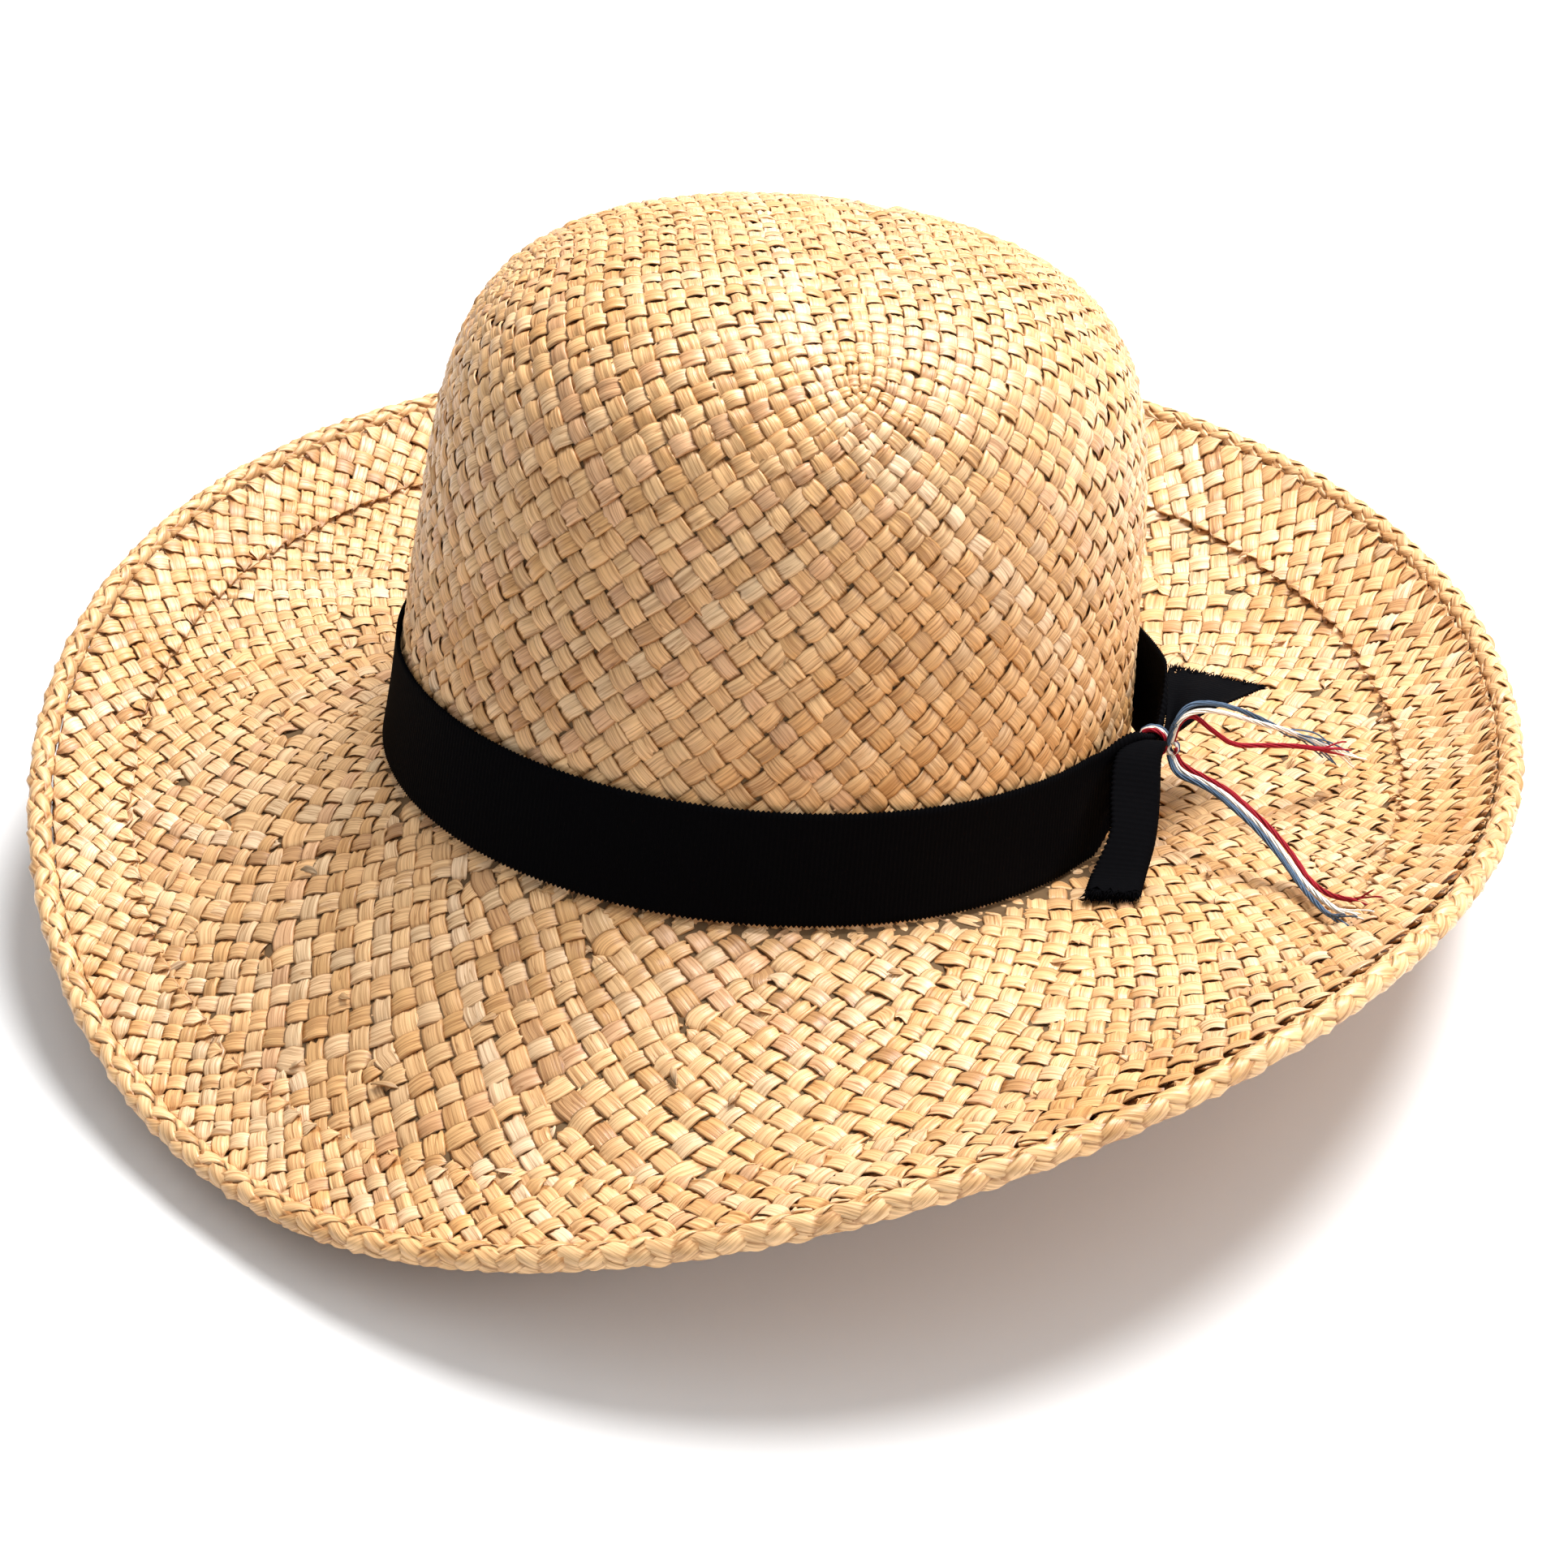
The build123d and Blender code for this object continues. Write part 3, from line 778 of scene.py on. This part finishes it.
def band_sheet(u, v):
    """The band round the crown, gathered into folds at the tie."""
    azimuth = u / BAND_LENGTH * TAU + TIE_AZIMUTH + math.pi
    gather = bump(azimuth, 12.0, 12.0)
    rise = (TIE_HEIGHT - BAND_BOTTOM - BAND_WIDTH / 2) * bump(azimuth, 12.0, RISE_BACK)
    height = BAND_BOTTOM + rise + BAND_WIDTH * v
    height = height + (TIE_HEIGHT + (v - 0.5) * 4.4 - height) * gather
    base = oval_radius(azimuth)
    flat = base * crown_scale(np.clip(height, 0, 200) / CROWN_HEIGHT) + 0.95
    lean = bump(azimuth, 17.0, 40.0) ** 1.5
    middle = flat + (base + TIE_STANDOFF - flat) * lean
    pleats = 1.3 * np.sin(TAU * 3.5 * v + 0.6) * gather * (1.25 - gather) * 1.6
    slack = 0.25 * np.sin(3 * azimuth + 1) * np.sin(math.pi * v)
    radius = middle + pleats + slack * (1 - gather)
    return np.stack([radius * np.cos(azimuth), radius * np.sin(azimuth), height], -1)


BAND_LENGTH = RIB_PITCH * 536


def stations_sheet(stations, length, section):
    """A ribbon along (centre, half-width vector, normal) stations with a folded cross-section."""
    centres, halves, normals = (np.array([s[k] for s in stations], float) for k in range(3))
    marks = np.linspace(0, 1, len(stations))

    def at(values, share):
        return np.stack([smooth_interp(share, marks, values[:, k]) for k in range(3)], -1)

    def sheet(u, v):
        share = u / length
        x, y = section(share, v)
        out = unit(at(normals, share)) * y[..., None]
        return at(centres, share) + at(halves, share) * x[..., None] + out

    return sheet


def smooth_interp(x, marks, values):
    """A smooth curve through a few values (Catmull-Rom)."""
    step = marks[1] - marks[0]
    cell = np.clip((x / step).astype(int), 0, len(marks) - 2)
    f = x / step - cell
    padded = np.concatenate([[2 * values[0] - values[1]], values, [2 * values[-1] - values[-2]]])
    p0, p1, p2, p3 = (padded[cell + k] for k in range(4))
    return p1 + 0.5 * f * (p2 - p0 + f * (2 * p0 - 5 * p1 + 4 * p2 - p3 + f * (3 * (p1 - p2) + p3 - p0)))


FRONT_TAIL = (
    ((92.6, -33.2, 25.3), (1.2, 0.3, 0), (0.2, -0.7, 0.6)),
    ((89.9, -38.2, 27.2), (2.9, 0.1, 0), (0, -0.6, 0.7)),
    ((86.4, -43.2, 25.4), (5.1, 0, 0), (0, -0.6, 0.8)),
    ((86.0, -50.5, 19.0), (5.6, 0, 0), (0, -0.6, 0.8)),
    ((85.8, -58.2, 12.6), (5.2, 0, 0), (0, -0.5, 0.85)),
    ((83.2, -65.5, 6.6), (5.9, 0, 0.4), (0, -0.45, 0.9)),
    ((81.9, -70.2, 4.0), (6.1, 0, 0.7), (0, -0.4, 0.9)),
)
BACK_TAIL = (
    ((92.4, -30.0, 25.6), (1.0, -0.4, 0.3), (0.1, 0.1, 1)),
    ((96.4, -25.8, 27.1), (2.3, -1.1, 0.4), (0, 0, 1)),
    ((100.0, -18.6, 28.8), (5.0, -2.5, 0.5), (0, 0, 1)),
    ((103.9, -9.2, 29.5), (8.2, -4.2, 0.4), (0, 0, 1)),
    ((108.2, 1.6, 29.1), (10.4, -4.9, 0.3), (0, 0, 1)),
)


def folded_section(share, v):
    """The front end is folded lengthwise in two, open towards the crown."""
    turn = (v - 0.5) * 2
    x = 1 - 2 * np.abs(turn) ** 1.15
    y = np.sign(turn) * np.minimum(np.abs(turn) * 6, 1) * (-0.9) + 0.25 * np.sin(5 * v + 3 * share)
    return x, y


def open_section(share, v):
    """The back end is flat with a soft cup and a few folds that run out of the neck."""
    x = 2 * v - 1
    cup = 1.1 * np.cos(math.pi * x * 1.6 + 0.5) * np.maximum(1 - share, 0) ** 0.7
    return x, cup + 0.7 * np.sin(math.pi * share) * x


def slanted(section_sheet, slant):
    """Cut the end of a ribbon on a slant: one edge runs on further than the other."""
    return lambda u, v: section_sheet(u * (1 + slant * (v - 0.5)), v)


def frayed_edge(sheet, length, count, reach):
    """Short loose yarns along a ribbon's cut end."""
    points, quads, size = [], [], 0
    for _ in range(count):
        v = rng.uniform(0, 1)
        root = sheet(np.array([[length - 0.8]]), np.array([[v]]))[0, 0]
        beyond = np.array([[length + rng.uniform(0.2, 1) * reach]])
        tip = sheet(beyond, np.array([[v + rng.normal(0, 0.02)]]))[0, 0]
        tip = tip + rng.normal(0, 0.35, 3)
        bend = (root + tip) / 2 + rng.normal(0, 0.2, 3)
        t = np.linspace(0, 1, 5)[:, None]
        line = root * (1 - t) ** 2 + 2 * bend * t * (1 - t) + tip * t**2
        more, faces = yarn(line, np.full(5, 0.13), 4)
        points.append(more)
        quads.append(faces + size)
        size += len(more)
    return np.concatenate(points), np.concatenate(quads)


def yarn(line, radius, sides=6):
    """A round tube along a line of points, in metres, with closed ends."""
    along = unit(np.gradient(line, axis=0))
    helper = np.where(np.abs(along[:, 2:3]) < 0.9, [[0, 0, 1.0]], [[1.0, 0, 0]])
    side = unit(np.cross(along, helper))
    other = np.cross(along, side)
    turn = TAU * np.arange(sides) / sides
    shape = side[:, None] * np.cos(turn)[None, :, None] + other[:, None] * np.sin(turn)[None, :, None]
    scale = np.asarray(radius, float).copy()
    scale[-1] *= 0.35
    scale[0] *= 0.35
    ring = line[:, None] + shape * scale[:, None, None]
    index = np.arange(len(line) * sides).reshape(len(line), sides)
    after = np.roll(index, -1, 1)
    quads = np.stack([index[:-1], after[:-1], after[1:], index[1:]], -1).reshape(-1, 4)
    return ring.reshape(-1, 3) * MM, np.concatenate([quads, end_caps(index, (True, False))])


def join(parts):
    points, quads, size = [], [], 0
    for more, faces in parts:
        points.append(more)
        quads.append(faces + size)
        size += len(more)
    return np.concatenate(points), np.concatenate(quads)


def add_ribbons(material):
    band = make_mesh("band_ribbon", *ribbon_points(band_sheet, BAND_LENGTH, BAND_ROWS, True), material)
    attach(band, "band")
    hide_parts("hat_band")
    front = stations_sheet(FRONT_TAIL, FRONT_LENGTH, folded_section)
    back = slanted(stations_sheet(BACK_TAIL, BACK_LENGTH, open_section), BACK_SLANT)
    for place, sheet, length, start, end in (
        ("front", front, FRONT_LENGTH, (91.8, -35.5, 26), (89.0, -40.5, 26)),
        ("back", back, BACK_LENGTH, (94.0, -27.5, 26.3), (97, -21, 28)),
    ):
        cloth = ribbon_points(sheet, length, END_ROWS, False, END_FRAYING, END_RIB_HEIGHT)
        frayed = frayed_edge(sheet, length, END_YARNS, END_YARN_REACH)
        piece = make_mesh(f"{place}_end_ribbon", *join([cloth, frayed]), material)
        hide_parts(f"ribbon_tail_{place}")
        [c * MM for c in start]
        [c * MM for c in end]
        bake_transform(piece)


# ---- thread -------------------------------------------------------------------------
PLIES = 6
PLY_RADIUS = 0.22
END_FRAY, LOOSE_FRAY = 0.16, 0.42  # share of a thread end that has come apart
TIE_OUT = np.array([math.cos(TIE_AZIMUTH), math.sin(TIE_AZIMUTH), 0])
TIE_ALONG = np.array([-math.sin(TIE_AZIMUTH), math.cos(TIE_AZIMUTH), 0])
TIE_UP = np.array([0, 0, 1.0])
COLOURS = ("red", "white", "blue")


def curve_through(points, count):
    points = np.array(points, float)
    marks = np.linspace(0, 1, len(points))
    share = np.linspace(0, 1, count)
    return np.stack([smooth_interp(share, marks, points[:, k]) for k in range(3)], 1)


def floss(line, plies=PLIES, spread=0.4, twist=0.24, fray=END_FRAY):
    """Fine plies twisted round a line, coming apart over the last share of it."""
    along = unit(np.gradient(line, axis=0))
    side = unit(np.cross(along, [[0.02, 0.01, 1.0]]))
    other = np.cross(along, side)
    run = np.cumsum(np.linalg.norm(np.diff(line, axis=0, prepend=line[:1]), axis=1))
    share = run / run[-1]
    loose = smooth((share - (1 - fray)) / fray) if fray else 0 * share
    parts = []
    for ply in range(plies):
        turn = twist * run + TAU * ply / plies + rng.uniform(-0.2, 0.2)
        away = rng.normal(0, 1, 3) * loose[:, None] * (1.6 if fray else 0)
        radius = spread * (1 + 0.3 * np.sin(run * 0.5 + ply))
        around = side * (np.cos(turn) * radius)[:, None]
        path = line + around + other * (np.sin(turn) * radius)[:, None] + away
        cut = len(path) - int(rng.integers(0, max(2, len(path) * 0.05))) if fray else len(path)
        parts.append(yarn(path[:cut], np.full(cut, PLY_RADIUS)))
    return join(parts)


def tie_point(out, along, up):
    base = (oval_radius(TIE_AZIMUTH) + TIE_STANDOFF) * TIE_OUT + np.array([0, 0, TIE_HEIGHT])
    return base + TIE_OUT * out + TIE_ALONG * along + TIE_UP * up


def wrap_line(place):
    """Two turns round the ribbon's neck, then a turn of the knot on the outer side."""
    turn = np.linspace(-0.5, 3.6, 90) * math.pi
    slide = (place - 1) * 1.0 + 0.35 * np.sin(turn / 2)
    radius = 3.35 + 0.12 * place
    coil = np.stack([
        tie_point(radius * np.sin(t), d, radius * 0.95 * np.cos(t)) for t, d in zip(turn, slide)
    ])
    knot_turn = np.linspace(0, 2.2, 40) * math.pi + place * 2.1
    knot = np.stack([
        tie_point(4.7 + 1.1 * np.cos(t) + 0.1 * place, np.cos(t * 0.5 + place), -0.4 + 1.15 * np.sin(t))
        for t in knot_turn
    ])
    return coil, knot


UPPER_LINES = {
    "red": ((95.3, -32.8, 26.2), (96.0, -32.2, 30.4), (99.0, -30.8, 32.2), (104.6, -30.0, 28.6),
            (110.2, -28.5, 25.4), (117.6, -24.9, 24.2), (127.1, -20.2, 22.8), (134.1, -16.8, 21.4),
            (140.9, -13.5, 20.0)),
    "white": ((94.6, -33.4, 26.0), (95.6, -33.2, 31.4), (98.6, -31.7, 33.4), (103.8, -29.0, 33.2),
              (110.6, -25.6, 31.2), (118.0, -21.8, 28.2), (125.4, -18.0, 25.2), (135.5, -12.9, 20.4),
              (145.5, -7.7, 15.4)),
    "blue": ((93.9, -33.8, 25.4), (94.7, -33.4, 30.6), (97.4, -31.6, 34.6), (102.6, -28.8, 35.0),
             (109.8, -25.2, 33.0), (116.4, -21.8, 29.6), (123.6, -18.4, 25.4), (131.6, -14.6, 21.6),
             (139.4, -11.6, 15.4)),
}
LOWER_LINES = {
    "red": ((95.9, -32.8, 24.0), (98.6, -34.4, 21.2), (103.0, -39.6, 20.9), (108.4, -46.3, 20.8),
            (114.9, -55.0, 18.9), (120.6, -62.8, 15.6), (125.0, -70.0, 12.6), (129.0, -81.0, 14.4),
            (137.3, -93.0, 20.6)),
    "white": ((95.3, -33.0, 23.4), (97.9, -36.2, 20.6), (102.9, -40.9, 20.2), (107.6, -47.3, 20.2),
              (113.6, -55.7, 18.6), (119.0, -63.4, 15.4), (123.4, -71.0, 12.7), (127.2, -86.5, 14.6),
              (131.2, -98.6, 18.8)),
    "blue": ((94.7, -33.2, 23.0), (96.9, -37.2, 20.2), (102.4, -41.6, 19.6), (107.0, -48.2, 19.5),
             (112.9, -56.7, 17.9), (118.2, -64.6, 14.9), (122.5, -72.6, 12.4), (125.2, -88.6, 14.4),
             (128.4, -100.6, 18.4)),
}


def add_threads(materials):
    for place, colour in enumerate(COLOURS):
        coil, knot = wrap_line(place)
        parts = [floss(coil, 4, 0.3, 0.6, 0), floss(knot, 4, 0.28, 0.6, 0)]
        wrap = make_mesh(f"tie_{colour}", *join(parts), materials[colour])
        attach(wrap, "band")
        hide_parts(f"wrap_{colour}")
        for name, lines, body, start, end in (
            ("upper", UPPER_LINES, "threads_upper", (95.2, -33.4, 26.0), (97.0, -33.0, 30.5)),
            ("lower", LOWER_LINES, "threads_lower", (95.4, -33.2, 23.6), (98.2, -36.4, 20.8)),
        ):
            line = curve_through(lines[colour], 150)
            fray = LOOSE_FRAY if (name, colour) == ("upper", "blue") else END_FRAY
            piece = make_mesh(f"{name}_end_{colour}", *floss(line, fray=fray), materials[colour])
            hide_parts(f"{name}_thread_{colour}")
            [c * MM for c in start]
            [c * MM for c in end]
            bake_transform(piece)


# ---- sweatband ----------------------------------------------------------------------
LINING_TOP = 25.0


def lining_sheet(u, v):
    azimuth = -u / BAND_LENGTH * TAU
    height = LINING_TOP * v
    radius = oval_radius(azimuth) * crown_scale(np.maximum(height, 0) / CROWN_HEIGHT) - 2.5
    return np.stack([radius * np.cos(azimuth), radius * np.sin(azimuth), height], -1)


def add_lining(lining, stitch):
    piece = make_mesh("sweatband_ribbon", *ribbon_points(lining_sheet, BAND_LENGTH, 8, True), lining)
    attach(piece, "hat")
    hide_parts("sweatband")
    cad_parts["sweatband_stitches"].data.materials.clear()
    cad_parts["sweatband_stitches"].data.materials.append(stitch)


straw = straw_material()
weave_body(straw)
backing_sheet()
weave_hem(straw)
loose_ends(straw)
braid_rim(straw)
braid_core()
add_ribbons(plain_material("ribbon", (0.0014, 0.0014, 0.0020), 0.8, 0.3, 900.0, 0.0001, 0.025))
add_threads({
    "red": plain_material("thread_red", (0.30, 0.008, 0.02), 0.6, 0.25, 1500.0, 0.0001),
    "white": plain_material("thread_white", (0.82, 0.78, 0.70), 0.6, 0.12, 1500.0, 0.0001),
    "blue": plain_material("thread_blue", (0.075, 0.12, 0.19), 0.6, 0.3, 1500.0, 0.0001),
})
add_lining(
    plain_material("lining", (0.50, 0.40, 0.26), 0.75, 0.15, 700.0, 0.0001),
    plain_material("stitch", (0.70, 0.60, 0.44), 0.7, 0.15, 1500.0, 0.0001),
)


# ---- stage, light and camera --------------------------------------------------------
CAMERA_DISTANCE, CAMERA_RISE, CAMERA_ROLL = 0.6707, math.radians(24.6), math.radians(6.44)
CAMERA_TARGET = Vector((0.00658, 0, -0.01121))
CAMERA_LENS = 62.05
REST_TILT = (-0.141, -0.175, 1.0)   # the level floor's normal in the hat's frame
FLOOR_REACH = 6.0


def add_camera():
    data = bpy.data.cameras.new("camera")
    data.lens, data.sensor_width, data.clip_start = CAMERA_LENS, 36.0, 0.05
    camera = bpy.data.objects.new("camera", data)
    bpy.context.scene.collection.objects.link(camera)
    place = Vector((0, -CAMERA_DISTANCE * math.cos(CAMERA_RISE), CAMERA_DISTANCE * math.sin(CAMERA_RISE)))
    ahead = (CAMERA_TARGET - place).normalized()
    right = ahead.cross(Vector((0, 0, 1))).normalized()
    up = right.cross(ahead)
    turned_right = right * math.cos(CAMERA_ROLL) + up * math.sin(CAMERA_ROLL)
    turned_up = up * math.cos(CAMERA_ROLL) - right * math.sin(CAMERA_ROLL)
    axes = Matrix((turned_right, turned_up, -ahead)).transposed()
    camera.matrix_world = Matrix.Translation(place) @ axes.to_4x4()
    bpy.context.scene.camera = camera


def add_floor():
    """A level floor under the lowest points of the brim, tilted because the hat leans when put down."""
    normal = Vector(REST_TILT).normalized()
    azimuth, t = np.meshgrid(np.linspace(0, TAU, 181), np.linspace(0, 1, 21))
    radius = oval_radius(azimuth) + (edge_radius(azimuth) - oval_radius(azimuth)) * t
    under = [radius * np.cos(azimuth), radius * np.sin(azimuth), brim_height(azimuth, t)]
    under = np.stack(under, -1) * MM
    drop = float((under @ np.array(normal)).min()) - 2 * BRAID_RADIUS * MM
    centre = normal * drop
    side = normal.cross(Vector((1, 0, 0))).normalized()
    other = side.cross(normal)
    signs = ((-1, -1), (1, -1), (1, 1), (-1, 1))
    corners = [centre + side * a * FLOOR_REACH + other * b * FLOOR_REACH for a, b in signs]
    material = new_material("floor", (0.92, 0.92, 0.92), 0.9)[0]
    floor = make_mesh("floor", np.array(corners), np.array([[3, 2, 1, 0]]), material)
    floor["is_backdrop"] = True


def add_light(name, place, target, size, power, colour=(1, 1, 1)):
    data = bpy.data.lights.new(name, "AREA")
    data.shape, data.size, data.energy, data.color = "DISK", size, power, colour
    lamp = bpy.data.objects.new(name, data)
    lamp.location = place
    lamp.rotation_euler = (Vector(target) - Vector(place)).to_track_quat("-Z", "Y").to_euler()
    bpy.context.scene.collection.objects.link(lamp)


SKY_LOW, SKY_HIGH = 0.24, 0.74  # strength of the sky at the horizon and overhead


def add_stage():
    add_floor()
    add_camera()
    add_light("overhead", (0.3, 0.22, 1.5), (0, 0, 0.03), 0.9, 45)
    add_light("window", (1.2, -0.8, 0.7), (0, 0, 0.05), 0.5, 6)
    world = bpy.data.worlds.new("studio")
    world.use_nodes = True
    tree = world.node_tree
    place = tree.nodes.new("ShaderNodeTexCoord")
    split = tree.nodes.new("ShaderNodeSeparateXYZ")
    rise = tree.nodes.new("ShaderNodeMapRange")
    rise.inputs[3].default_value, rise.inputs[4].default_value = SKY_LOW, SKY_HIGH
    tree.links.new(place.outputs["Generated"], split.inputs[0])
    tree.links.new(split.outputs["Z"], rise.inputs[0])
    tree.links.new(rise.outputs[0], tree.nodes["Background"].inputs[1])
    tree.nodes["Background"].inputs[0].default_value = (1, 1, 1, 1)
    bpy.context.scene.world = world
    bpy.context.scene.view_settings.view_transform = "Standard"


add_stage()
[[list(corner) for corner in box] for box in (start_bounds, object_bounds())]
